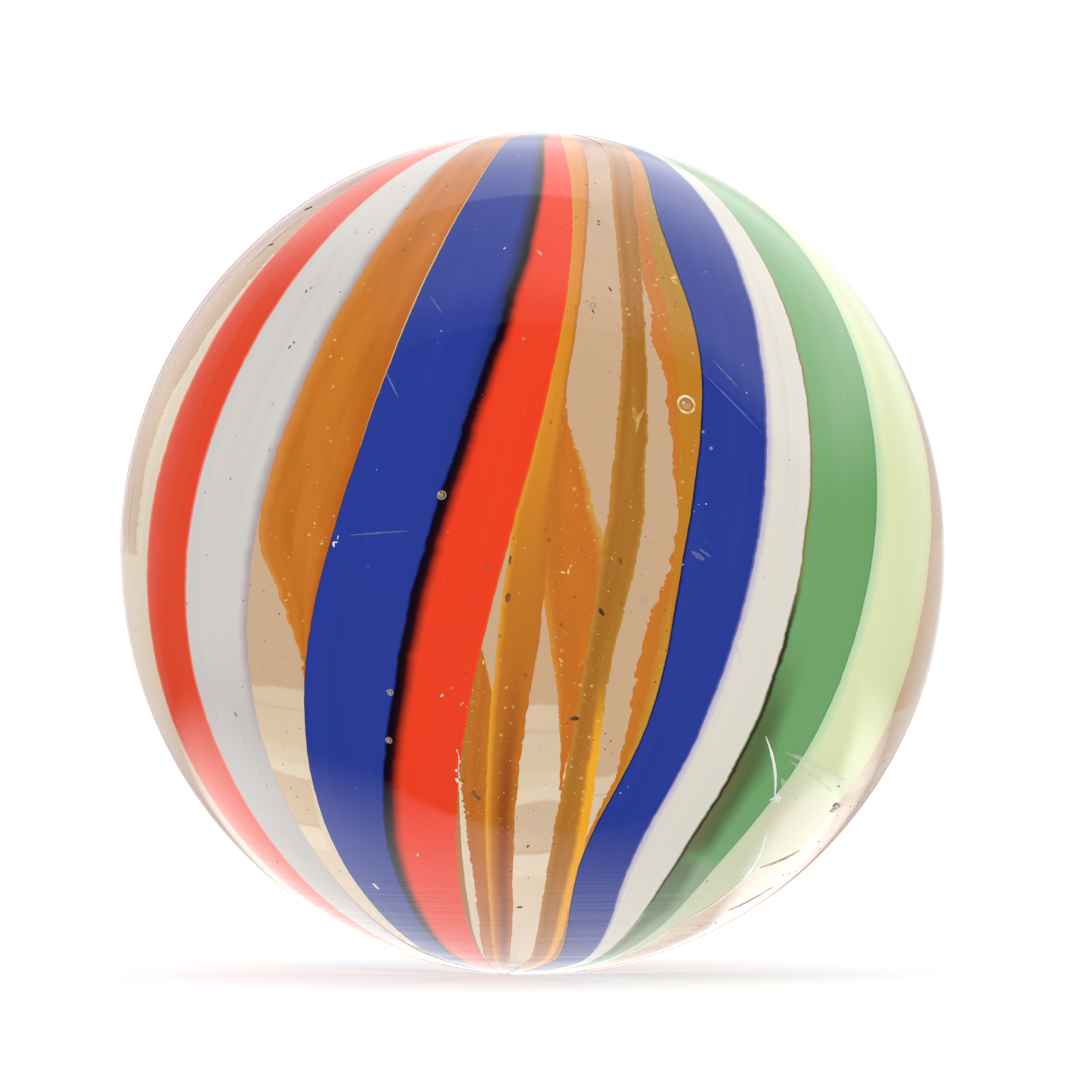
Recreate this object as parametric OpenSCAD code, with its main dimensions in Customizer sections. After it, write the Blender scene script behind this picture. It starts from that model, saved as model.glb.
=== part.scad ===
// Swirl glass marble, handmade, one solid body of fused glass.
// The origin is the centre of the marble and +Z runs along its length. The axis that the swirl
// turns about leans a few degrees from +Z.

/* [Body] */
// Width of the marble across its upright axis, in mm
across = 25.0; // [12:0.1:60]
// Length of the marble from pole to pole, along its upright axis, in mm
pole_to_pole = 25.5; // [12:0.1:60]

/* [Finish] */
// Number of sides that a preview shows round the widest part
preview_sides = 180; // [48:12:360]

/* [Hidden] */

// The poles lie a little further apart than the sides, because the gather was sheared from
// its cane and turned in a cup, so the ball of revolution is slightly longer than it is wide.
pole_stretch = pole_to_pole / across;

// The whole ball: clear glass with its coloured ribbons fused in as one solid.
module marble() {
    color("royalblue")
        scale([1, 1, pole_stretch])
            sphere(d = across, $fn = preview_sides);
}

marble();
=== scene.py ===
import math
import random
import bpy
import numpy as np
from mathutils import Matrix, Vector, noise


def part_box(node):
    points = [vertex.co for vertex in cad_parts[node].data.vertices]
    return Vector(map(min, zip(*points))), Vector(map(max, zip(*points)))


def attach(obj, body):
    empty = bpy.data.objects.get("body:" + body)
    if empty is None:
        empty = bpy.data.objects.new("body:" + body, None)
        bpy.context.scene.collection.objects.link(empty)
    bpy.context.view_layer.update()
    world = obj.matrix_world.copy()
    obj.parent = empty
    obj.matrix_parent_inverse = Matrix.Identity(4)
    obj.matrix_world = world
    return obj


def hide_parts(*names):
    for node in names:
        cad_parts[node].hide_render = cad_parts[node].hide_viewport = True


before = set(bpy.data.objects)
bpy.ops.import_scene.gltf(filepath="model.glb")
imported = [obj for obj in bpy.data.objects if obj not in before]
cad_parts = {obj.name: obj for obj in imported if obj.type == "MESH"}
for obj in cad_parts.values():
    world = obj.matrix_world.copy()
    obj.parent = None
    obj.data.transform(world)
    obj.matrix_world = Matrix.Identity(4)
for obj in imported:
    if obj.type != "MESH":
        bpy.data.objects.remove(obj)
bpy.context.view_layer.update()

# ---- Body glass ----
# One ball of clear glass with a faint warm tint, gathered on a rod, rolled round in a cup
# while soft and sheared off at both poles. The last turns in the cup left it slightly uneven.

low, high = [Vector(corner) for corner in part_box("marble")]
centre = (low + high) / 2
half_width = (high.x - low.x) / 2
half_length = (high.z - low.z) / 2
half_sizes = np.array([half_width, half_width, half_length])

# The swirl turns about an axis that leans a little to the right and away.
lean = np.array(Matrix.Rotation(math.radians(4), 3, "Y") @ Matrix.Rotation(math.radians(-4), 3, "X"))


def unevenness(way):
    """How far the skin stands off a true ball along a way, as a share of the radius."""
    broad = noise.noise(Vector(way) * 2.2 + Vector((3, 1, 7)))
    close = noise.noise(Vector(way) * 6.0 + Vector((9, 4, 2)))
    turn = max(0.0, -way[2] - 0.62) / 0.38
    rings = turn * noise.noise(Vector((way[0] * 1.5, way[1] * 1.5, way[2] * 60.0)))
    return -0.0006 + 0.0003 * broad + 0.00012 * close + 0.00022 * rings


def on_skin(ways, height):
    """Points on the marble's skin along unit ways, raised by a share of the radius."""
    rise = np.array([1 + height + unevenness(way) for way in ways])
    return ways * rise[:, None] * half_sizes + np.array(centre)


def from_axis(latitudes, longitudes):
    """Unit ways for latitudes and longitudes, in radians, about the leaning swirl axis."""
    ways = np.stack([np.cos(latitudes) * np.sin(longitudes),
                     -np.cos(latitudes) * np.cos(longitudes), np.sin(latitudes)], 1)
    return ways @ lean.T


def get_points(mesh):
    points = np.empty(len(mesh.vertices) * 3)
    mesh.vertices.foreach_get("co", points)
    return points.reshape(-1, 3)


def set_points(mesh, points):
    mesh.vertices.foreach_set("co", np.asarray(points, float).ravel())
    mesh.update()


class Value:
    """A socket of a finish that takes part in sums; each sum adds its Math node."""

    def __init__(self, finish, socket):
        self.finish, self.socket = finish, socket

    def maths(self, operation, *others, clamp=False):
        node = self.finish.add("ShaderNodeMath", {"operation": operation, "use_clamp": clamp},
                               {i: item for i, item in enumerate((self,) + others)})
        return Value(self.finish, node.outputs[0])

    def swapped(self, operation, other):
        node = self.finish.add("ShaderNodeMath", {"operation": operation}, {0: other, 1: self})
        return Value(self.finish, node.outputs[0])

    def __add__(self, other):
        return self.maths("ADD", other)

    def __sub__(self, other):
        return self.maths("SUBTRACT", other)

    def __mul__(self, other):
        return self.maths("MULTIPLY", other)

    def __truediv__(self, other):
        return self.maths("DIVIDE", other)

    def __rsub__(self, other):
        return self.swapped("SUBTRACT", other)

    __radd__, __rmul__ = __add__, __mul__

    def ramp(self, start, end):
        """0 at start and below, 1 at end and above, with soft corners."""
        node = self.finish.add("ShaderNodeMapRange", {"interpolation_type": "SMOOTHSTEP"},
                               {"Value": self, "From Min": start, "From Max": end})
        return Value(self.finish, node.outputs["Result"])


class Finish:
    """A material and its nodes."""

    def __init__(self, name, tree=None):
        if tree is None:
            self.material = bpy.data.materials.new(name)
            self.material.use_nodes = True
            tree = self.material.node_tree
            self.surface = tree.nodes["Principled BSDF"]
        self.tree = tree

    def put(self, socket, item):
        if isinstance(item, Value):
            item = item.socket
        if isinstance(item, bpy.types.NodeSocket):
            self.tree.links.new(item, socket)
        elif isinstance(item, tuple) and len(item) == 3 and socket.type == "RGBA":
            socket.default_value = (*item, 1)
        else:
            socket.default_value = item

    def add(self, kind, settings=None, sockets=None):
        """One node of a kind: its settings first, then the values or links of its sockets."""
        node = self.tree.nodes.new(kind)
        for setting, item in (settings or {}).items():
            setattr(node, setting, item)
        for socket, item in (sockets or {}).items():
            self.put(node.inputs[socket], item)
        return node

    def set(self, **sockets):
        for socket, item in sockets.items():
            self.put(self.surface.inputs[socket.replace("_", " ")], item)

    def place(self, output="Object", scale=(1, 1, 1), offset=(0, 0, 0)):
        """Coordinates of the piece, stretched and moved."""
        here = self.add("ShaderNodeTexCoord")
        return self.add("ShaderNodeMapping", {}, {"Vector": here.outputs[output], "Scale": scale,
                                                  "Location": offset}).outputs[0]

    def across_and_along(self):
        here = self.add("ShaderNodeTexCoord")
        apart = self.add("ShaderNodeSeparateXYZ", {}, {0: here.outputs["UV"]})
        return Value(self, apart.outputs[0]), Value(self, apart.outputs[1])

    def noise(self, place, scale=1.0, detail=2.0, rough=0.5):
        node = self.add("ShaderNodeTexNoise", {}, {"Vector": place, "Scale": scale, "Detail": detail,
                                                   "Roughness": rough})
        return Value(self, node.outputs[0])

    def cells(self, place, scale):
        node = self.add("ShaderNodeTexVoronoi", {}, {"Vector": place, "Scale": scale})
        return Value(self, node.outputs["Distance"])

    def mix(self, share, first, second):
        node = self.add("ShaderNodeMix", {"data_type": "RGBA"}, {0: share, 6: first, 7: second})
        return node.outputs[2]

    def bump(self, height, strength, distance):
        node = self.add("ShaderNodeBump", {},
                        {"Height": height, "Strength": strength, "Distance": distance})
        return node.outputs[0]


def scratches(finish, lines=16.0):
    """Height of the fine scratches and pits that lie all over the marble."""
    pits = 1 - finish.cells(finish.place(), 900.0).ramp(0.02, 0.14)
    rubbed = finish.noise(finish.place(scale=(1200, 1200, 9000)), 1.0, 3.0)
    up = finish.add("ShaderNodeSeparateXYZ", {}, {0: finish.place()}).outputs[2]
    low_down = Value(finish, up).ramp(-0.0075, -0.0105)
    turning_lines = finish.noise(finish.place(scale=(70, 70, 5200)), 1.0, 4.0, 0.7)
    return rubbed * 0.4 - pits + turning_lines * low_down * lines


clear = Finish("clear glass")
clear.set(Base_Color=(1, 1, 1), Transmission_Weight=1.0, IOR=1.5)
foot = Value(clear, clear.add("ShaderNodeSeparateXYZ", {}, {0: clear.place()}).outputs[2])
turned = foot.ramp(-0.004, -0.012) * clear.noise(clear.place(scale=(60, 60, 1900)), 1.0, 3.0)
clear.set(Normal=clear.bump(turned * 0.6 + scratches(clear, 1.0) * 0.15, 0.6, 0.00002))
worn = clear.noise(clear.place(), 260.0, 4.0).ramp(0.62, 0.75)
clear.set(Roughness=worn * 0.03)
# What is left of light after one whole width of the glass.
left_after = np.array([0.80, 0.66, 0.47])
lost = -np.log(left_after) / (2 * half_width)
density = float(lost.max() / 0.9)
kept = tuple(float(1 - x / density) for x in lost)
depth_tint = clear.add("ShaderNodeVolumeAbsorption", {}, {"Color": kept, "Density": density})
clear.tree.links.new(depth_tint.outputs[0], clear.tree.nodes["Material Output"].inputs["Volume"])

bpy.ops.object.select_all(action="DESELECT")
bpy.ops.mesh.primitive_uv_sphere_add(segments=384, ring_count=192, radius=1)
ball = bpy.context.object
ball.name = "body_glass"
set_points(ball.data, on_skin(get_points(ball.data), 0.0))
bpy.ops.object.shade_smooth()
ball.data.materials.append(clear.material)
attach(ball, "root")
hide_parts("marble")

# ---- Opaque ribbons of the front ----
# Rods of opaque coloured glass laid side by side on the gather, melted flush with its skin and
# drawn into long S curves when the hot ball was twisted. Each runs from pole to pole.


def swirl(latitudes):
    """How far round the axis, in degrees, the twist carries a rod at any latitude."""
    return 8 * np.sin(np.radians(latitudes * 1.5))


def seam(middle, bends=((-75, 0), (75, 0)), ragged=0.0, seed=0, fine=0.4, fan=12.0):
    """Where two strips meet: the swirl through a longitude, in degrees, on the equator.

    The rods of the front fan out close to the poles. The bends, each (latitude, degrees),
    say where this seam leaves the common swirl.
    """
    at, bend = [np.array(column, float) for column in zip(*bends)]
    slope = np.gradient(bend, at)
    spread = fan * math.sin(math.radians(3 * middle))

    def line(latitudes):
        here = np.clip(latitudes, at[0], at[-1])
        index = np.clip(np.searchsorted(at, here) - 1, 0, len(at) - 2)
        gap = at[index + 1] - at[index]
        part = (here - at[index]) / gap
        own = bend[index] * (1 + 2 * part) * (1 - part) ** 2
        own += bend[index + 1] * part ** 2 * (3 - 2 * part)
        own += slope[index] * gap * part * (1 - part) ** 2
        own -= slope[index + 1] * gap * part ** 2 * (1 - part)
        shake = np.array([noise.noise((x * 0.16, seed, 1)) + 0.6 * noise.noise((x * 0.7, seed, 2))
                          + fine * noise.noise((x * 2.1, seed, 3)) for x in latitudes])
        short_of_pole = np.clip(latitudes, -75, 75)
        common = swirl(short_of_pole) + spread * (short_of_pole / 75) ** 6
        return middle + common + own + ragged * shake
    return line


def lay_strip(name, left, right, finish, bottom=-89.0, top=89.0, columns=10, height=0.0007,
              thick=0.012, rows=400):
    """A flat strip of glass wrapped on the skin between two seams, melted in to its thickness."""
    bpy.ops.object.select_all(action="DESELECT")
    rows = max(8, int(rows * (top - bottom) / 178))
    bpy.ops.mesh.primitive_grid_add(x_subdivisions=columns, y_subdivisions=rows, size=1)
    strip = bpy.context.object
    strip.name = name
    points = get_points(strip.data)
    latitudes = bottom + (points[:, 1] + 0.5) * (top - bottom)
    edges = [edge(latitudes) for edge in (left, right)]
    share_across = points[:, 0].copy()
    longitudes = edges[0] + (edges[1] - edges[0]) * (share_across + 0.5)
    set_points(strip.data, on_skin(from_axis(np.radians(latitudes), np.radians(longitudes)), height))
    # A rod melts in with a lens-shaped section: thick down its middle, thin along its edges.
    section = strip.vertex_groups.new(name="section")
    shares = 1 - (2 * share_across) ** 2
    for share in sorted(set(np.round(shares, 4))):
        same = np.flatnonzero(np.abs(shares - share) < 0.0001)
        section.add([int(i) for i in same], float(share), "REPLACE")
    wall = strip.modifiers.new("wall", "SOLIDIFY")
    wall.thickness = thick * half_width
    wall.offset = -1
    wall.vertex_group = "section"
    wall.thickness_vertex_group = 0.015
    # The wall's inner faces take the second material, whose glow is painted light.
    wall.material_offset = 1
    strip.data.materials.append(finish.material)
    strip.data.materials.append(finish.inner)
    bpy.ops.object.modifier_apply(modifier="wall")
    bpy.ops.object.shade_smooth_by_angle(angle=math.radians(40))
    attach(strip, "root")
    return strip


def painted_glow_side(name, body, streak):
    """A strip's inner side, with a painted glow: a steady emission of its own colour stands for the light
    on the marble soaking through its glass.
    """
    finish = Finish(name + " inner side")
    long_streaks = finish.noise(finish.place("UV", (5, 2.2, 1)), 1.0, 3.0, 0.5).ramp(0.3, 0.8)
    colour = finish.mix(long_streaks, body, streak)
    # Painted glow: the inner side gives off light of its own colour, whatever light falls on the marble.
    finish.set(Base_Color=colour, Roughness=0.3, Emission_Color=colour, Emission_Strength=0.4)
    finish.material.cycles.emission_sampling = "NONE"
    return finish.material


def opaque(name, body, streak, left_edge=None, right_edge=None, left_wide=0.1, right_wide=0.1,
           soft_in=None):
    """Opaque glass: long faint streaks, edges that bled into the next strip, pits and specks."""
    finish = Finish(name)
    # The inner faces of this glass's strips get a painted glow.
    finish.inner = painted_glow_side(name, body, streak)
    u, v = finish.across_and_along()
    long_streaks = finish.noise(finish.place("UV", (5, 2.2, 1)), 1.0, 3.0, 0.5).ramp(0.3, 0.8)
    colour = finish.mix(long_streaks, body, streak)
    wander = (finish.noise(finish.place("UV", (1, 22, 1)), 1.0, 5.0, 0.65) - 0.5) * 0.16
    if left_edge:
        colour = finish.mix(1 - (u + wander * left_wide * 3).ramp(0.0, left_wide), colour, left_edge)
    if right_edge:
        colour = finish.mix((u + wander * right_wide * 3).ramp(1 - right_wide, 1.0), colour, right_edge)
    if soft_in:
        colour = soft_in(finish, u, v, colour)
    specks = 1 - finish.cells(finish.place(), 1300.0).ramp(0.05, 0.11)
    sparse = finish.noise(finish.place(offset=(5, 2, 1)), 420.0, 2.0).ramp(0.6, 0.66)
    colour = finish.mix(specks * sparse * 0.6, colour, (0.12, 0.09, 0.07))
    motes = 1 - finish.cells(finish.place(offset=(2, 7, 3)), 1500.0).ramp(0.05, 0.1)
    bare = finish.noise(finish.place(offset=(1, 4, 2)), 380.0, 2.0).ramp(0.58, 0.64)
    colour = finish.mix(motes * bare * 0.35, colour, (0.75, 0.72, 0.7))
    finish.set(Base_Color=colour, IOR=1.5, Normal=finish.bump(scratches(finish), 0.25, 0.000006),
               Roughness=0.03 + finish.noise(finish.place(), 240.0, 5.0).ramp(0.5, 0.8) * 0.12)
    return finish


# The front's seams from left to right: the left red ribbon's two sides, then each ribbon's right side.
# The strands of amber glass fill the room between the middle red ribbon and the right blue one.
red_l = seam(-67, ((-75, -2), (-45, 1), (-25, 1), (0, 0), (50, -1), (75, -4)), 0.25, 1)
red_white = seam(-54, ((-75, 1), (-45, 3), (-15, 0), (75, 0)), 0.15, 2)
white_amber = seam(-40, ((-75, 5), (-50, 2), (-25, 0), (75, 0)), 0.3, 3)
amber_blue = seam(-28, ((-75, 0), (-50, -3), (-25, -2), (0, 0), (50, 1), (75, 5)), 0.1, 4)
blue_red = seam(-14, ((-75, -4), (-50, -4), (-25, -1), (0, 0), (50, 2), (75, 4)), 0.3, 5)
red_r = seam(-3, ((-75, -1), (0, 0), (50, -1), (75, -2)), 0.15, 6)
strand_blue = seam(21, ((-75, 4), (-50, 0), (-25, 3), (0, 0), (25, -2), (55, -7), (75, -1)), 0.1, 7)
blue_white = seam(32, ((-75, 8), (-50, 0), (-25, 1), (0, 0), (25, -2), (75, -2)), 0.2, 8)
white_green = seam(40, ((-75, 7), (-50, 2), (-25, 2), (0, 0), (50, -3), (75, -2)), 0.3, 9)
green_pale = seam(54, ((-75, 7), (-50, -1), (-25, 1), (0, 0), (25, -1), (50, 2), (75, 11)), 0.15, 10)
pale_r = seam(72, ((-75, 4), (-60, -7), (-47, -6), (-42, -2), (0, 0), (25, 1), (50, 3), (75, 20)), 0.5, 11)

red_left = opaque("red glass left", (0.77, 0.062, 0.026), (0.73, 0.085, 0.035), (0.8, 0.2, 0.12),
                  (0.85, 0.25, 0.2), 0.08, 0.06)
lay_strip("red_ribbon_left", red_l, red_white, red_left)


def painted_shade_foot(finish, u, v, colour):
    """Painted shade: the white is greyer low down, where it faces down and gets less light."""
    return finish.mix(v.ramp(0.42, 0.3) * v.ramp(0.08, 0.2), colour, (0.52, 0.5, 0.48))


white_left = opaque("white glass left", (0.64, 0.615, 0.585), (0.6, 0.58, 0.56), None, (0.42, 0.35, 0.37),
                    0.08, 0.16, painted_shade_foot)
lay_strip("white_ribbon_left", red_white, white_amber, white_left)


def scorched_top(finish, u, v, colour):
    """The dark seam spreads over the blue near the upper pole."""
    return finish.mix(u.ramp(0.8, 1.0) * v.ramp(0.5, 0.8) * 0.9, colour, (0.008, 0.012, 0.03))


deep_blue = opaque("blue glass left", (0.021, 0.042, 0.295), (0.024, 0.047, 0.31), (0.03, 0.045, 0.1),
                   (0.006, 0.004, 0.02), 0.03, 0.04, scorched_top)
lay_strip("blue_ribbon_left", amber_blue, blue_red, deep_blue, columns=12)


def scorched_side(finish, u, v, colour):
    """Where it was laid against the blue the red has burnt black, fading out into clean red."""
    wander = (finish.noise(finish.place("UV", (1, 16, 1)), 1.0, 3.0, 0.6) - 0.5) * 0.07
    colour = finish.mix(1 - (u + wander).ramp(0.07, 0.27), colour, (0.03, 0.004, 0.006))
    return finish.mix(1 - (u + wander).ramp(0.02, 0.15), colour, (0.006, 0.003, 0.008))


red_mid = opaque("red glass middle", (0.84, 0.049, 0.016), (0.79, 0.058, 0.02), None, (0.8, 0.09, 0.02),
                 0.3, 0.04, scorched_side)
lay_strip("red_ribbon_middle", blue_red, red_r, red_mid)
blue_right = opaque("blue glass right", (0.021, 0.042, 0.287), (0.026, 0.05, 0.31), (0.008, 0.006, 0.03),
                    (0.2, 0.18, 0.4), 0.05, 0.05)
lay_strip("blue_ribbon_right", strand_blue, blue_white, blue_right)


def dulled_top(finish, u, v, colour):
    """The white is duller near the upper pole."""
    return finish.mix(v.ramp(0.72, 0.85) * 0.6, colour, (0.5, 0.48, 0.43))


white_right = opaque("white glass right", (0.72, 0.69, 0.61), (0.68, 0.65, 0.58), (0.5, 0.46, 0.6),
                     (0.09, 0.1, 0.03), 0.16, 0.06, dulled_top)
lay_strip("white_ribbon_right", blue_white, white_green, white_right, columns=8)


def smeared_foot(finish, u, v, colour):
    """Low down the green has run thin over dark olive glass, in soft smears."""
    patches = finish.noise(finish.place(scale=(260, 260, 180)), 1.0, 3.0, 0.55)
    drift = u + (patches - 0.5) * 0.6
    smear = v.ramp(0.45, 0.36) * (v + (patches - 0.5) * 0.05).ramp(0.236, 0.262)
    reach = drift + v.ramp(0.27, 0.4) * 0.3
    colour = finish.mix(smear * (1 - reach.ramp(0.35, 0.75)) * 0.95, colour, (0.085, 0.14, 0.05))
    colour = finish.mix(smear * (1 - reach.ramp(0.1, 0.35)) * 0.8, colour, (0.16, 0.15, 0.065))
    pools = finish.noise(finish.place(scale=(330, 330, 330), offset=(3, 2, 1)), 1.0, 2.0, 0.4)
    foot_body = finish.mix((u + (pools - 0.5) * 1.2).ramp(0.3, 0.7), (0.12, 0.17, 0.09), (0.27, 0.36, 0.24))
    colour = finish.mix((v + (patches - 0.5) * 0.05).ramp(0.25, 0.236) * 0.85, colour, foot_body)
    shaken = u + (finish.noise(finish.place("UV", (1, 60, 1)), 1.0, 4.0, 0.6) - 0.5) * 0.06
    dark_seam = (1 - shaken.ramp(0.02, 0.07)) * v.ramp(0.5, 0.44) * v.ramp(0.17, 0.2)
    colour = finish.mix(dark_seam, colour, (0.035, 0.04, 0.014))
    lime_seam = (1 - shaken.ramp(0.03, 0.1)) * v.ramp(0.19, 0.16) * 0.7
    return finish.mix(lime_seam, colour, (0.42, 0.5, 0.2))


green = opaque("green glass", (0.15, 0.37, 0.13), (0.18, 0.36, 0.16), (0.25, 0.28, 0.06),
               (0.13, 0.31, 0.12), 0.05, 0.05, smeared_foot)
lay_strip("green_ribbon", white_green, green_pale, green)


def cloudy_foot(finish, u, v, colour):
    """The pale glass thins out low down into greyish and yellowish clouds."""
    clouds = finish.noise(finish.place(scale=(300, 300, 300), offset=(1, 6, 2)), 1.0, 3.0, 0.6)
    low_down = (v + (clouds - 0.5) * 0.06).ramp(0.36, 0.3)
    colour = finish.mix(low_down * 0.85, colour, (0.57, 0.62, 0.43))
    return finish.mix(low_down * clouds.ramp(0.52, 0.6) * 0.6, colour, (0.66, 0.62, 0.48))


pale = opaque("pale glass", (0.72, 0.78, 0.46), (0.69, 0.76, 0.47), (0.5, 0.68, 0.42),
              (0.72, 0.68, 0.4), 0.16, 0.2, cloudy_foot)
lay_strip("pale_ribbon", green_pale, pale_r, pale)

# ---- Amber strands of the front ----
# Thinner rods of amber and olive glass laid over the clear gather. They melted unevenly, so
# their edges are ragged and the clear glass shows between them.


def amber(name, body, streak, left_edge, right_edge, left_wide=0.2, right_wide=0.2, low_body=None,
          low_edge=None, middle_body=None):
    """Amber glass: broad soft streaks, ragged bright edges, seeds of gold and burnt specks."""
    finish = Finish(name)
    # The inner faces of this glass's strips get a painted glow.
    finish.inner = painted_glow_side(name, body, streak)
    u, v = finish.across_and_along()
    lines = finish.noise(finish.place("UV", (2.6, 4, 1)), 1.0, 4.0, 0.55).ramp(0.35, 0.7)
    colour = finish.mix(lines, body, streak)
    if middle_body:
        colour = finish.mix(v.ramp(0.6, 0.42), colour, middle_body)
    if low_body:
        colour = finish.mix(v.ramp(0.45, 0.28) * u.ramp(0.1, 0.6) * 0.9, colour, low_body)
    wander = (finish.noise(finish.place("UV", (2, 60, 1)), 1.0, 5.0, 0.7) - 0.5) * 0.5
    colour = finish.mix(1 - (u + wander * left_wide).ramp(0.0, left_wide), colour, left_edge)
    colour = finish.mix((u + wander * right_wide).ramp(1 - right_wide, 1.0), colour, right_edge)
    if low_edge:
        colour = finish.mix(v.ramp(0.4, 0.33) * (u + wander * 0.3).ramp(0.6, 0.8), colour, low_edge)
    motes = 1 - finish.cells(finish.place(offset=(2, 7, 3)), 2600.0).ramp(0.08, 0.17)
    seedy = finish.noise(finish.place(offset=(1, 5, 3)), 420.0, 3.0).ramp(0.46, 0.6)
    colour = finish.mix(motes * seedy * 0.55, colour, (0.85, 0.55, 0.2))
    burnt = 1 - finish.cells(finish.place(offset=(4, 1, 3)), 1100.0).ramp(0.03, 0.09)
    colour = finish.mix(burnt * 0.5, colour, (0.15, 0.05, 0.015))
    finish.set(Base_Color=colour, Roughness=0.04, IOR=1.5)
    finish.set(Normal=finish.bump(scratches(finish), 0.25, 0.000006))
    return finish


def meets(first, second, pick):
    """The line of whichever of two seams lies further to one side."""
    return lambda latitudes: pick(first(latitudes), second(latitudes))


def lens(low_end, widest_at, high_end, widest):
    """A width, in degrees, that swells from nothing to its widest and back to nothing."""
    def width(latitudes):
        risen = np.minimum((latitudes - low_end) / (widest_at - low_end),
                           (high_end - latitudes) / (high_end - widest_at))
        share = np.clip(risen, 0, 1)
        return widest * share * share * (3 - 2 * share)
    return width


def beside(line, width, share):
    """The line a share of a width to the right of another line."""
    return lambda latitudes: line(latitudes) + width(latitudes) * share


amber_left = amber("amber glass left", (0.58, 0.185, 0.021), (0.49, 0.137, 0.014), (0.62, 0.24, 0.05),
                   (0.5, 0.12, 0.012))


torn_edge = seam(-40, ragged=0.6, seed=20, fine=0.9, fan=0)


def amber_foot(latitudes):
    """The amber's left edge leaves the white ribbon at the equator and runs in to the blue."""
    share = np.clip((1 - latitudes) / 24, 0, 1)
    white_edge = white_amber(latitudes)
    wide = amber_blue(latitudes) - white_edge
    torn = (torn_edge(latitudes) + 40 - swirl(latitudes)) * (share > 0)
    return np.maximum(white_edge, white_edge + wide * share * share * (3 - 2 * share) + torn)


lay_strip("amber_ribbon_left", amber_foot, amber_blue, amber_left, bottom=-22.0,
          height=0.0004)

# The mustard strand leaves the red ribbon low down, and an orange one fills the wedge below.
mustard_l = seam(-3, ((-60, 7), (-30, 4), (0, 0), (25, -2), (75, -2)), 0.12, 13)
mustard_r = seam(2, ((-60, 7), (-30, 4), (-10, 2), (0, 0), (50, -3), (75, 0)), 0.3, 12)
mustard = amber("mustard glass", (0.68, 0.26, 0.022), (0.64, 0.23, 0.02), (0.7, 0.3, 0.025),
                (0.52, 0.16, 0.02), 0.2, 0.4, low_body=(0.28, 0.06, 0.013),
                middle_body=(0.52, 0.17, 0.02))
lay_strip("mustard_strand", meets(mustard_l, red_r, np.maximum), mustard_r, mustard,
          height=0.0004)
low_orange = amber("orange glass low", (0.55, 0.16, 0.02), (0.46, 0.14, 0.02), (0.38, 0.2, 0.03),
                   (0.75, 0.38, 0.03), 0.25, 0.12)
wedge_r = meets(beside(red_r, lambda latitudes: -16 - latitudes, 0.5), mustard_l, np.minimum)
lay_strip("orange_strand_low", red_r, wedge_r, low_orange, top=-16.5, height=0.0003)

# A short orange strand starts beside the mustard one and runs into the olive one.
short_bends = ((-35, 9), (-15, 5), (-5, 2), (0, 0), (17, -5))
short_wide = lens(-37, -2, 18, 9)
short_l = beside(seam(4.5, short_bends, 0.2, 23), short_wide, -0.5)
short_r = beside(seam(5, short_bends, 0.5, 24, 0.9), short_wide, 0.5)
orange = amber("orange glass", (0.53, 0.15, 0.02), (0.6, 0.17, 0.018), (0.62, 0.24, 0.03),
               (0.6, 0.3, 0.05), 0.2, 0.2)
lay_strip("orange_strand_short", short_l, short_r, orange, bottom=-36, top=17,
          height=0.0003)

# The olive strand and the amber one beside the blue ribbon part round a long clear gap.
olive_l = seam(9.5, ((-60, 6), (-30, 4), (0, 0), (25, -3), (55, -5), (75, -1)), 0.35, 14, 0.8)
gap_bends = ((-75, 6), (-45, 4), (-20, 1), (0, 0), (20, -4), (40, -7), (60, -6), (75, -1))
right_bends = ((-75, 6), (-45, 4), (-30, 4), (-15, 0), (0, 0), (20, -5), (40, -9), (60, -7), (75, -1))
gap_wide = lens(-47, -6, 75, 5)
olive_r = beside(seam(17, gap_bends, 0.4, 15, 0.5), gap_wide, -0.5)
right_l = beside(seam(17, right_bends, 0.9, 16, 0.4), gap_wide, 0.5)
olive = amber("olive amber glass", (0.37, 0.14, 0.02), (0.42, 0.18, 0.028), (0.5, 0.21, 0.03),
              (0.46, 0.24, 0.03), 0.25, 0.12, low_body=(0.47, 0.18, 0.025),
              low_edge=(0.85, 0.4, 0.02))
lay_strip("olive_strand", olive_l, olive_r, olive, height=0.0005)
amber_right = amber("amber glass right", (0.54, 0.17, 0.02), (0.55, 0.2, 0.022), (0.58, 0.17, 0.025),
                    (0.53, 0.27, 0.03), 0.25, 0.5)
# However wide the gap is, at least a thread of amber lies beside the blue.
thread = beside(strand_blue, lambda latitudes: 0.6, -1)
lay_strip("amber_strand_right", meets(right_l, thread, np.minimum), strand_blue, amber_right,
          height=0.0004)
# Along the blue ribbon a tapering olive-yellow strand covers the amber one's right half.
yellow_wide = lens(-20, 32, 80, 4)
yellow = amber("olive yellow glass", (0.46, 0.235, 0.012), (0.43, 0.2, 0.014), (0.47, 0.25, 0.02),
               (0.42, 0.23, 0.02), 0.1, 0.1, middle_body=(0.51, 0.2, 0.018))
lay_strip("olive_strand_right", beside(strand_blue, yellow_wide, -1), strand_blue, yellow,
          bottom=-19, top=79, columns=6, height=0.0005)

# A feathery line of cream glass lies along the low orange strand.
cream = opaque("cream glass", (0.74, 0.64, 0.47), (0.64, 0.55, 0.42))
feather_bends = ((-75, 2), (-60, 3), (-45, 2), (-30, 0))
feather_wide = lens(-84, -62, -28, 2.5)
feather_l = beside(seam(-4, feather_bends, 0.15, 25), feather_wide, -0.5)
feather_r = beside(seam(-4, feather_bends, 0.6, 26, 0.9), feather_wide, 0.5)
lay_strip("cream_feather", feather_l, feather_r, cream, bottom=-80, top=-31, columns=4,
          height=0.0009, thick=0.01, rows=900)


def hair(latitudes):
    """The least width of a shred, in degrees, which holds it together where it thins out."""
    return 0.03


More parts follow.
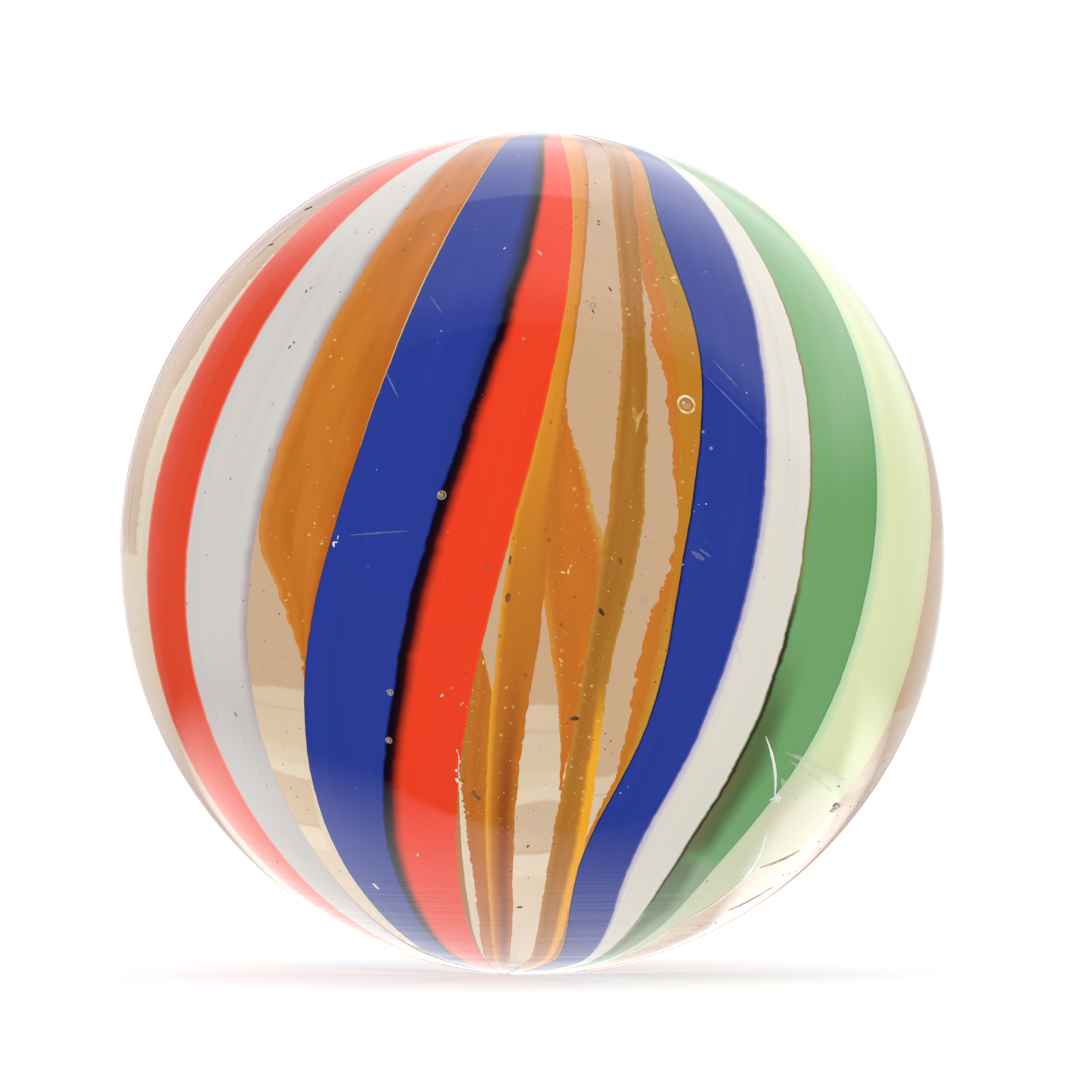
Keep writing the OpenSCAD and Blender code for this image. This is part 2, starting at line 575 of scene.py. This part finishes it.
# Shreds of the same cream glass lie along the blue ribbon's low left side and beside the red.
shred = seam(-28, ((-75, 0), (-50, -3), (-25, -2), (0, 0)), 0.4, 27)
shred_l = meets(beside(shred, lens(-80, -68, -30, 4), -1), beside(amber_blue, hair, -1), np.minimum)
lay_strip("cream_shred_low", shred_l, amber_blue, cream, bottom=-73, top=-32, columns=4,
          height=0.0003, thick=0.01, rows=900)
pale_shred = seam(-67, ((-40, -2), (-25, 1), (0, 0), (50, -1)), 0.7, 28, 1.2)
pale_shred_l = meets(beside(pale_shred, lens(-28, 8, 42, 6), -1), beside(red_l, hair, -1), np.minimum)
lay_strip("cream_shred_left", pale_shred_l, red_l, cream, bottom=-20, top=40, columns=4,
          height=0.0003, thick=0.01, rows=900)
tan = opaque("tan glass", (0.66, 0.4, 0.2), (0.76, 0.54, 0.32))
tan_wide = lens(0, 40, 140, 0.25)
lay_strip("tan_line_left", beside(amber_blue, tan_wide, -1), amber_blue, tan,
          bottom=10, top=74, columns=2, height=0.0009, thick=0.006)

# ---- Seeds, bubbles and bruises ----
# Seeds of gold and white glass that came up to the skin, burnt specks, a few burst bubbles with
# glassy rims, and the moons and scuffs that a played marble gets from knocks.


def skin_frame(latitude, longitude, height=0.0008):
    """A point on the skin with the ways east, north and out there."""
    lat, lon = np.radians([latitude]), np.radians([longitude])
    step = 0.001
    here, east, north = [on_skin(from_axis(a, b), height)[0] for a, b in
                         ((lat, lon), (lat, lon + step), (lat + step, lon))]
    east, north = Vector(east - here).normalized(), Vector(north - here).normalized()
    return Vector(here), east, north, east.cross(north)


def join(pieces, name, finish):
    bpy.ops.object.select_all(action="DESELECT")
    for piece in pieces:
        piece.select_set(True)
    bpy.context.view_layer.objects.active = pieces[0]
    if len(pieces) > 1:
        bpy.ops.object.join()
    whole = bpy.context.object
    whole.name = name
    whole.data.materials.clear()
    whole.data.materials.append(finish.material)
    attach(whole, "root")
    return whole


def seeds(name, places, finish):
    """Small glassy seeds, each (latitude, longitude, length in mm, slimness, turn in degrees)."""
    bpy.ops.object.select_all(action="DESELECT")
    bpy.ops.mesh.primitive_ico_sphere_add(subdivisions=2, radius=1)
    master = bpy.context.object
    bpy.ops.object.shade_smooth()
    shape = get_points(master.data)
    shape = shape * np.array([1 + 0.35 * noise.noise(Vector(p) * 1.7) for p in shape])[:, None]
    pieces = []
    for latitude, longitude, length, slim, turn in places:
        seed = master.copy()
        seed.data = master.data.copy()
        bpy.context.collection.objects.link(seed)
        here, east, north, out = skin_frame(latitude, longitude, 0.0004)
        along = east * math.cos(math.radians(turn)) + north * math.sin(math.radians(turn))
        side = out.cross(along)
        size = length / 2000
        set_points(seed.data, [here + along * (p[0] * size) + side * (p[1] * size * slim)
                               + out * (p[2] * min(size * slim, 0.00002)) for p in shape])
        pieces.append(seed)
    bpy.data.objects.remove(master)
    return join(pieces, name, finish)


def mark(start, end, width, bow=0.0, height=0.0009):
    """A thin sliver on the skin from one (latitude, longitude) to another, bowed to the right
    by some degrees, its width in mm, tapered at both ends."""
    bpy.ops.object.select_all(action="DESELECT")
    bpy.ops.mesh.primitive_grid_add(x_subdivisions=2, y_subdivisions=28, size=1)
    sliver = bpy.context.object
    points = get_points(sliver.data)
    along = points[:, 1] + 0.5

    def run(share):
        lats = start[0] + (end[0] - start[0]) * share
        lons = start[1] + (end[1] - start[1]) * share + bow * np.sin(np.pi * share)
        return on_skin(from_axis(np.radians(lats), np.radians(lons)), height)

    middle = run(along)
    ahead = run(along + 0.01)
    way = (ahead - middle) / np.linalg.norm(ahead - middle, axis=1)[:, None]
    out = middle - np.array(centre)
    side = np.cross(way, out / np.linalg.norm(out, axis=1)[:, None])
    taper = np.sin(np.pi * np.clip(along, 0.02, 0.98)) ** 0.7
    wobble = np.array([1 + 0.5 * noise.noise((a * 9, start[0], start[1])) for a in along])
    set_points(sliver.data, middle + side * (points[:, 0] * taper * wobble * width / 1000)[:, None])
    skin = sliver.modifiers.new("skin", "SOLIDIFY")
    skin.thickness = 0.000012
    skin.offset = 0
    bpy.ops.object.modifier_apply(modifier="skin")
    return sliver


def plain_glass(name, colour, other, roughness=0.15, cover=1.0):
    """Glass of two colours in small patches; cover is how solid a seed or mark of it looks."""
    finish = Finish(name)
    patches = finish.noise(finish.place(), 2500.0, 3.0).ramp(0.35, 0.65)
    finish.set(Base_Color=finish.mix(patches, colour, other), Roughness=roughness, IOR=1.5)
    if cover < 1:
        finish.set(Alpha=cover * (0.5 + finish.noise(finish.place(), 1800.0, 3.0).ramp(0.35, 0.6) * 0.5))
    return finish


luck = random.Random(12)


def scatter(places, patches, sizes):
    """Adds seeds at random over patches, each (lowest, highest, left, right, how many)."""
    for lowest, highest, left, right, count in patches:
        for k in range(count):
            places.append((luck.uniform(lowest, highest), luck.uniform(left, right),
                           luck.uniform(*sizes), luck.uniform(0.4, 1), luck.uniform(0, 180)))


def clusters(places, spots):
    """Adds knots of seeds, each (latitude, longitude, largest size in mm, how many)."""
    for latitude, longitude, size, count in spots:
        for k in range(count):
            apart = 0.8 * (k > 0)
            up, across = [luck.uniform(-apart, apart) for way in range(2)]
            places.append((latitude + up, longitude + across, size * (1 - 0.15 * k),
                           luck.uniform(0.2, 0.5), luck.uniform(0, 180)))


gold = plain_glass("gold seeds", (0.66, 0.34, 0.06), (0.82, 0.55, 0.22))
places = []
clusters(places, ((39, 22, 0.3, 4), (-3, -30, 0.15, 2), (-11, -36, 0.15, 2), (6, 20, 0.15, 2),
                  (-5, 5, 0.2, 3), (-24, -9, 0.2, 1), (-18, -6, 0.15, 1), (-20, 12, 0.15, 1),
                  (-17, 5, 0.2, 2), (10, 7, 0.1, 2)))
scatter(places, ((-30, 14, 3, 8, 90), (-40, 0, 8, 12, 70), (-44, -18, -9, -5, 60), (0, 40, 18, 23, 50),
                 (-20, 0, 18, 20, 16), (-48, -20, -4, 1, 40), (-4, 40, -40, -30, 30),
                 (-15, 5, -38, -30, 20), (0, 45, 11, 16, 40)), (0.02, 0.055))
seeds("gold_seeds", places, gold)

frost = plain_glass("white seeds", (0.82, 0.8, 0.78), (0.6, 0.58, 0.6))
places = []
clusters(places, ((-23, -12, 0.15, 1), (-49, -20, 0.15, 1), (-56, -35, 0.35, 1), (42, -9, 0.1, 1),
                  (-3, -28, 0.2, 3), (-34, 48, 0.4, 3)))
scatter(places, ((-45, 50, -30, 36, 46),), (0.02, 0.05))
seeds("white_seeds", places, frost)

burnt = plain_glass("burnt specks", (0.08, 0.03, 0.012), (0.24, 0.11, 0.04), 0.08)
places = []
clusters(places, ((-38, -7, 0.35, 2), (-25, 8, 0.3, 1), (-4, -3, 0.3, 1), (-9, -3, 0.3, 1),
                  (-3, 12, 0.25, 1), (-10, 10, 0.3, 1), (34, 21, 0.1, 1), (42, -66, 0.3, 1),
                  (50, -68, 0.4, 1), (33, -44, 0.15, 2), (24, -42, 0.15, 2), (-27, -50, 0.15, 2),
                  (-34, 68, 0.6, 1), (-31, 64, 0.2, 1), (49, 9, 0.15, 2), (-59, 3, 0.2, 1),
                  (-46, 3, 0.15, 1), (32, 7, 0.15, 1), (36, 10, 0.2, 1)))
scatter(places, ((-30, 40, 12, 22, 34), (-60, -10, -66, -42, 26), (-10, 45, -56, -36, 24),
                 (-50, 60, 5, 12, 30), (-60, -8, -44, -34, 20), (30, 60, -40, 40, 30),
                 (-60, -35, 0, 8, 16), (-62, -30, 60, 80, 18), (-30, 30, 30, 70, 16)), (0.02, 0.055))
seeds("burnt_specks", places, burnt)

# Burst bubbles, each (latitude, longitude, radius in mm), the large one with a bright rim.
bubbles = ((19, 21, 0.26), (4, -13, 0.12), (-23, -20, 0.09), (-30, -21, 0.09), (33, 7, 0.08),
           (-8, 16, 0.08))
rims = []
for latitude, longitude, size in bubbles:
    here, east, north, out = skin_frame(latitude, longitude, 0.0006)
    bpy.ops.object.select_all(action="DESELECT")
    bpy.ops.mesh.primitive_torus_add(major_radius=size, minor_radius=size * 0.15, major_segments=40,
                                     minor_segments=12)
    bpy.ops.object.shade_smooth()
    rim = bpy.context.object
    set_points(rim.data, [here + east * (p[0] / 1000) + north * (p[1] / 1000) + out * (p[2] * 0.35 / 1000)
                          for p in get_points(rim.data)])
    rims.append(rim)
bright_rim = plain_glass("bright bubble rim", (0.86, 0.76, 0.5), (0.6, 0.36, 0.08), 0.03)
dim_rim = plain_glass("dim bubble rims", (0.22, 0.2, 0.24), (0.45, 0.4, 0.38), 0.03)
join(rims[:1], "bubble_rim_large", bright_rim)
join(rims[1:], "bubble_rims_small", dim_rim)
hollow = plain_glass("bubble hollows", (0.3, 0.16, 0.05), (0.5, 0.3, 0.1), 0.03)
hollows = [(lat, lon, size * 1.4, 1, 0) for lat, lon, size in bubbles[:4]]
seeds("bubble_hollows", hollows, hollow)
# Painted glints: a speck of the white seed glass on each of the four largest bubbles stands for the
# highlight in it.
glints = [(lat + 0.2, lon - 0.4, size * 0.5, 0.8, 40) for lat, lon, size in bubbles[:4]]
seeds("bubble_glints", glints, frost)

# A little fan of gold hairs beside the clear gap: each is a fine mark a step below the last.
feathers = []
for step in (0, 0.6, 1.2):
    feathers.append(mark((18.5 - step, 13 + step * 0.6), (16.5 - step, 13 + step * 0.3), 0.05))
for step in (0, 0.5, 1, 1.5):
    feathers.append(mark((18.5 - step, 15 - step * 0.6), (15.5 - step, 13 + step * 0.2), 0.05))
gold_hair = plain_glass("gold feathers", (0.62, 0.33, 0.07), (0.8, 0.5, 0.15), 0.1, 0.9)
join(feathers, "gold_feathers", gold_hair)

# Knocks left crescent cracks and a haze on the pale glass, and small scuffs all over the front.
moon_white = plain_glass("bruise white", (0.86, 0.87, 0.78), (0.74, 0.78, 0.68), 0.2)
moons = [mark((-25, 40), (-34, 48), 0.1, 0.5), mark((-33, 47), (-35, 50), 0.07),
         mark((-39, 51), (-60, 54), 0.15, 5), mark((-60, 54), (-72, 60), 0.12, -1)]
join(moons, "bruise_moons", moon_white)
haze = plain_glass("bruise haze", (0.86, 0.88, 0.8), (0.75, 0.8, 0.7), 0.3, 0.4)
hazes = [mark((-27, 45), (-30, 65), 0.16), mark((-28, 46), (-32, 63), 0.1),
         mark((-31, 47), (-34, 54), 0.3), mark((42, -3), (41, -2), 0.08)]
join(hazes, "bruise_haze", haze)
scuff = plain_glass("scuffed glass", (0.62, 0.64, 0.72), (0.5, 0.52, 0.62), 0.3, 0.22)
scuffs = [mark((24, 24), (16, 33), 0.05), mark((26, 26), (22, 30), 0.05),
          mark((-2, -26), (-1, -17), 0.05), mark((21, -24), (17, -21), 0.05),
          mark((33, -20), (30, -17), 0.05), mark((-12, 30), (-15, 32), 0.05),
          mark((-1, 22), (-2, 24), 0.15), mark((-0.5, 23), (-1.5, 25), 0.07)]
join(scuffs, "scuffs", scuff)
dark_mark = plain_glass("dark bruise", (0.12, 0.13, 0.08), (0.25, 0.25, 0.18), 0.3, 0.8)
darks = [mark((-42, 68), (-46, 59), 0.1, 1), mark((-49, 75), (-55, 68), 0.1, 1),
         mark((-34, 70), (-35, 67), 0.16)]
join(darks, "dark_bruises", dark_mark)

# ---- Ribbons of the far side ----
# The same rods go on round the back. Clear glass shows in one gap there and in one at each side.

# Each is (name, longitudes of its left and right seams on the equator, glass, slot).
BACK = [
    ("amber_ribbon_back", 92, 106, amber_left, "amber_glass"),
    ("blue_ribbon_back", 106, 120, blue_right, "blue_glass"),
    ("white_ribbon_back", 120, 131, white_right, "white_glass"),
    ("green_ribbon_back", 131, 146, green, "green_glass"),
    ("red_ribbon_back", 146, 158, red_left, "red_glass"),
    ("mustard_strand_back", 158, 168, mustard, "amber_glass"),
    ("olive_strand_back", 194, 204, olive, "amber_glass"),
    ("white_ribbon_far_left", 204, 218, white_left, "white_glass"),
    ("blue_ribbon_far_left", 218, 234, deep_blue, "blue_glass"),
    ("red_ribbon_far_left", 234, 246, red_mid, "red_glass"),
    ("pale_ribbon_far_left", 246, 258, pale, "pale_glass"),
    ("amber_ribbon_far_left", 258, 270, amber_left, "amber_glass"),
]
for name, start, end, finish, slot in BACK:
    first, last = [seam(middle, ragged=0.3, seed=30 + middle, fan=0) for middle in (start, end)]
    lay_strip(name, first, last, finish)

# ---- Floor, background and lights ----
# A plain white board under the marble and a wide soft light above it.

bpy.ops.object.select_all(action="DESELECT")
bpy.ops.mesh.primitive_plane_add(size=4, location=(0, 0, low.z))
board = bpy.context.object
board.name = "floor"
plain = Finish("plain white floor")
plain.set(Base_Color=(0.45, 0.45, 0.45), Roughness=1.0, Specular_IOR_Level=0.0)
rays = plain.add("ShaderNodeLightPath")
through, mirror = [Value(plain, rays.outputs[kind + " Ray"]) for kind in
                   ("Is Transmission", "Is Glossy")]
spot = plain.add("ShaderNodeSeparateXYZ", {}, {0: plain.place()})
side, depth = Value(plain, spot.outputs[0]), Value(plain, spot.outputs[1])
behind = (depth - side * 0.1).ramp(-0.0108, -0.0102)
# The gloss mirrors a bright patch of board under the marble and the pale board behind it.
patch = (depth - (side + 0.0035).maths("ABSOLUTE") * 0.45).ramp(-0.0155, -0.0068) * 1.9
right_end = (side - depth.ramp(0.0, 0.006) * 0.02).ramp(0.018, -0.002)
patch = patch * side.ramp(-0.034, -0.014) * right_end * depth.ramp(0.03, 0.008)
# A brighter round spot lies under the right side.
off_side = side - 0.0115
off_depth = depth - 0.003
off_bright = (off_side * off_side + off_depth * off_depth).maths("SQRT")
patch = patch.maths("MAXIMUM", off_bright.ramp(0.0075, 0.0045) * 2.6)
away = (side * side + depth * depth).maths("SQRT")
far_board = (depth / away).ramp(0.45, 0.95) * 0.85 + (depth / away).ramp(0.93, 1.0) * 0.3
glow = plain.add("ShaderNodeEmission", {}, {"Color": (1, 1, 1), "Strength": 0.63})
mirrored_board = plain.add("ShaderNodeEmission", {}, {
    "Color": (1, 1, 1), "Strength": behind * patch.maths("MAXIMUM", far_board)})
warm = plain.add("ShaderNodeEmission", {}, {"Color": (0.79, 0.65, 0.55), "Strength": 1.0})
lit = plain.add("ShaderNodeAddShader", {}, {0: plain.surface.outputs[0], 1: glow.outputs[0]})
shown = plain.add("ShaderNodeMixShader", {}, {0: mirror, 1: lit.outputs[0], 2: mirrored_board.outputs[0]})
shown = plain.add("ShaderNodeMixShader", {}, {0: through, 1: shown.outputs[0], 2: warm.outputs[0]})
plain.tree.links.new(shown.outputs[0], plain.tree.nodes["Material Output"].inputs["Surface"])
board.data.materials.append(plain.material)

world = bpy.data.worlds.new("studio")
bpy.context.scene.world = world
world.use_nodes = True
room = Finish("room", world.node_tree)
rays = room.add("ShaderNodeLightPath")
looks, through, mirror = [Value(room, rays.outputs[kind + " Ray"]) for kind in
                          ("Is Camera", "Is Transmission", "Is Glossy")]
way_of = room.add("ShaderNodeTexCoord").outputs["Generated"]
way = room.add("ShaderNodeSeparateXYZ", {}, {0: way_of})
x, y, z = [Value(room, way.outputs[k]) for k in range(3)]
# Seen through the glass: warm and plain low down, then pale above a stepped and wavy edge.
waver = (room.noise(way_of, 14.0, 4.0) - 0.5) * 0.03
up = z + waver - x.ramp(-0.055, -0.085) * 0.13
share = up.ramp(0.222, 0.23) * 0.62 + up.ramp(0.343, 0.347) * 0.2 + up.ramp(0.38, 0.384) * 0.18
share = share - up.ramp(0.41, 0.416) * 0.7 + up.ramp(0.535, 0.54) * 0.65 - up.ramp(0.6, 0.61) * 0.3
share = share - up.ramp(0.26, 0.264) * up.ramp(0.27, 0.266) * 0.3
share = share - up.ramp(0.526, 0.53) * up.ramp(0.54, 0.536) * 0.2
share = share.maths("MAXIMUM", x.ramp(0.7, 0.8))
share = share.maths("MAXIMUM", x.ramp(-0.3, -0.5) * z.ramp(0.56, 0.6))
seen = room.mix(share, (0.79, 0.65, 0.55), (1, 1, 1))
# Mirrored in the gloss: a wide pane overhead that begins a little in front of the marble,
# brighter further back, and the pale room behind.
over = y / z.maths("MAXIMUM", 0.001)
back_edge = over.ramp(0.46, 0.5) + (over.ramp(0.1, 0.9) - over.ramp(0.46, 0.5)) * x.ramp(0.08, 0.25)
pane = over.ramp(-0.46, -0.43) * 0.3 + over.ramp(-0.40, -0.12) * 0.55 + back_edge * 0.65
sideways = 0.85 + x.ramp(-0.3, 0.3) * 0.5 - x.ramp(0.3, 0.8) * 0.15
pane = pane * z.ramp(0.12, 0.45) * x.ramp(-0.7, -0.3) * sideways
back_room = y.ramp(0.45, 0.95) * (0.78 + z.ramp(0.03, 0.25) * 0.5) + y.ramp(0.96, 1.0) * 0.3
mirrored = pane.maths("MAXIMUM", back_room)
unseen = through + (1 - through) * (mirror * mirrored + (1 - mirror))
light = looks + (1 - looks) * unseen
tint = room.mix(through, (1, 1, 1), seen)
ground = world.node_tree.nodes["Background"]
room.put(ground.inputs["Color"], tint)
room.put(ground.inputs["Strength"], light)

pane_lamp = bpy.data.lights.new("overhead_softbox", "AREA")
pane_lamp.shape = "RECTANGLE"
pane_lamp.size, pane_lamp.size_y = 0.5, 0.4
pane_lamp.energy = 0.35 * math.pi * 0.5 * 0.4
softbox = bpy.data.objects.new("overhead_softbox", pane_lamp)
softbox.location = (0.05, -0.02, 0.3)
softbox.visible_glossy = False
softbox.visible_transmission = False
bpy.context.collection.objects.link(softbox)

# ---- Camera ----
# Level with the marble and far off, so that its outline is seen almost without perspective.

camera_data = bpy.data.cameras.new("camera")
camera = bpy.data.objects.new("camera", camera_data)
bpy.context.collection.objects.link(camera)
distance = 0.5
frame_width = 2 * half_width / 0.764
elevation = math.radians(1)
aim = centre + Vector((0.0091 * 2 * half_width, 0, 0.0134 * 2 * half_width))
camera.location = aim + Vector((0, -math.cos(elevation), math.sin(elevation))) * distance
camera.rotation_euler = (aim - camera.location).to_track_quat("-Z", "Y").to_euler()
camera_data.sensor_fit = "HORIZONTAL"
camera_data.sensor_width = 36
camera_data.lens = 36 * distance / frame_width
camera_data.clip_end = 20
bpy.context.scene.camera = camera
bpy.context.scene.view_settings.view_transform = "Standard"
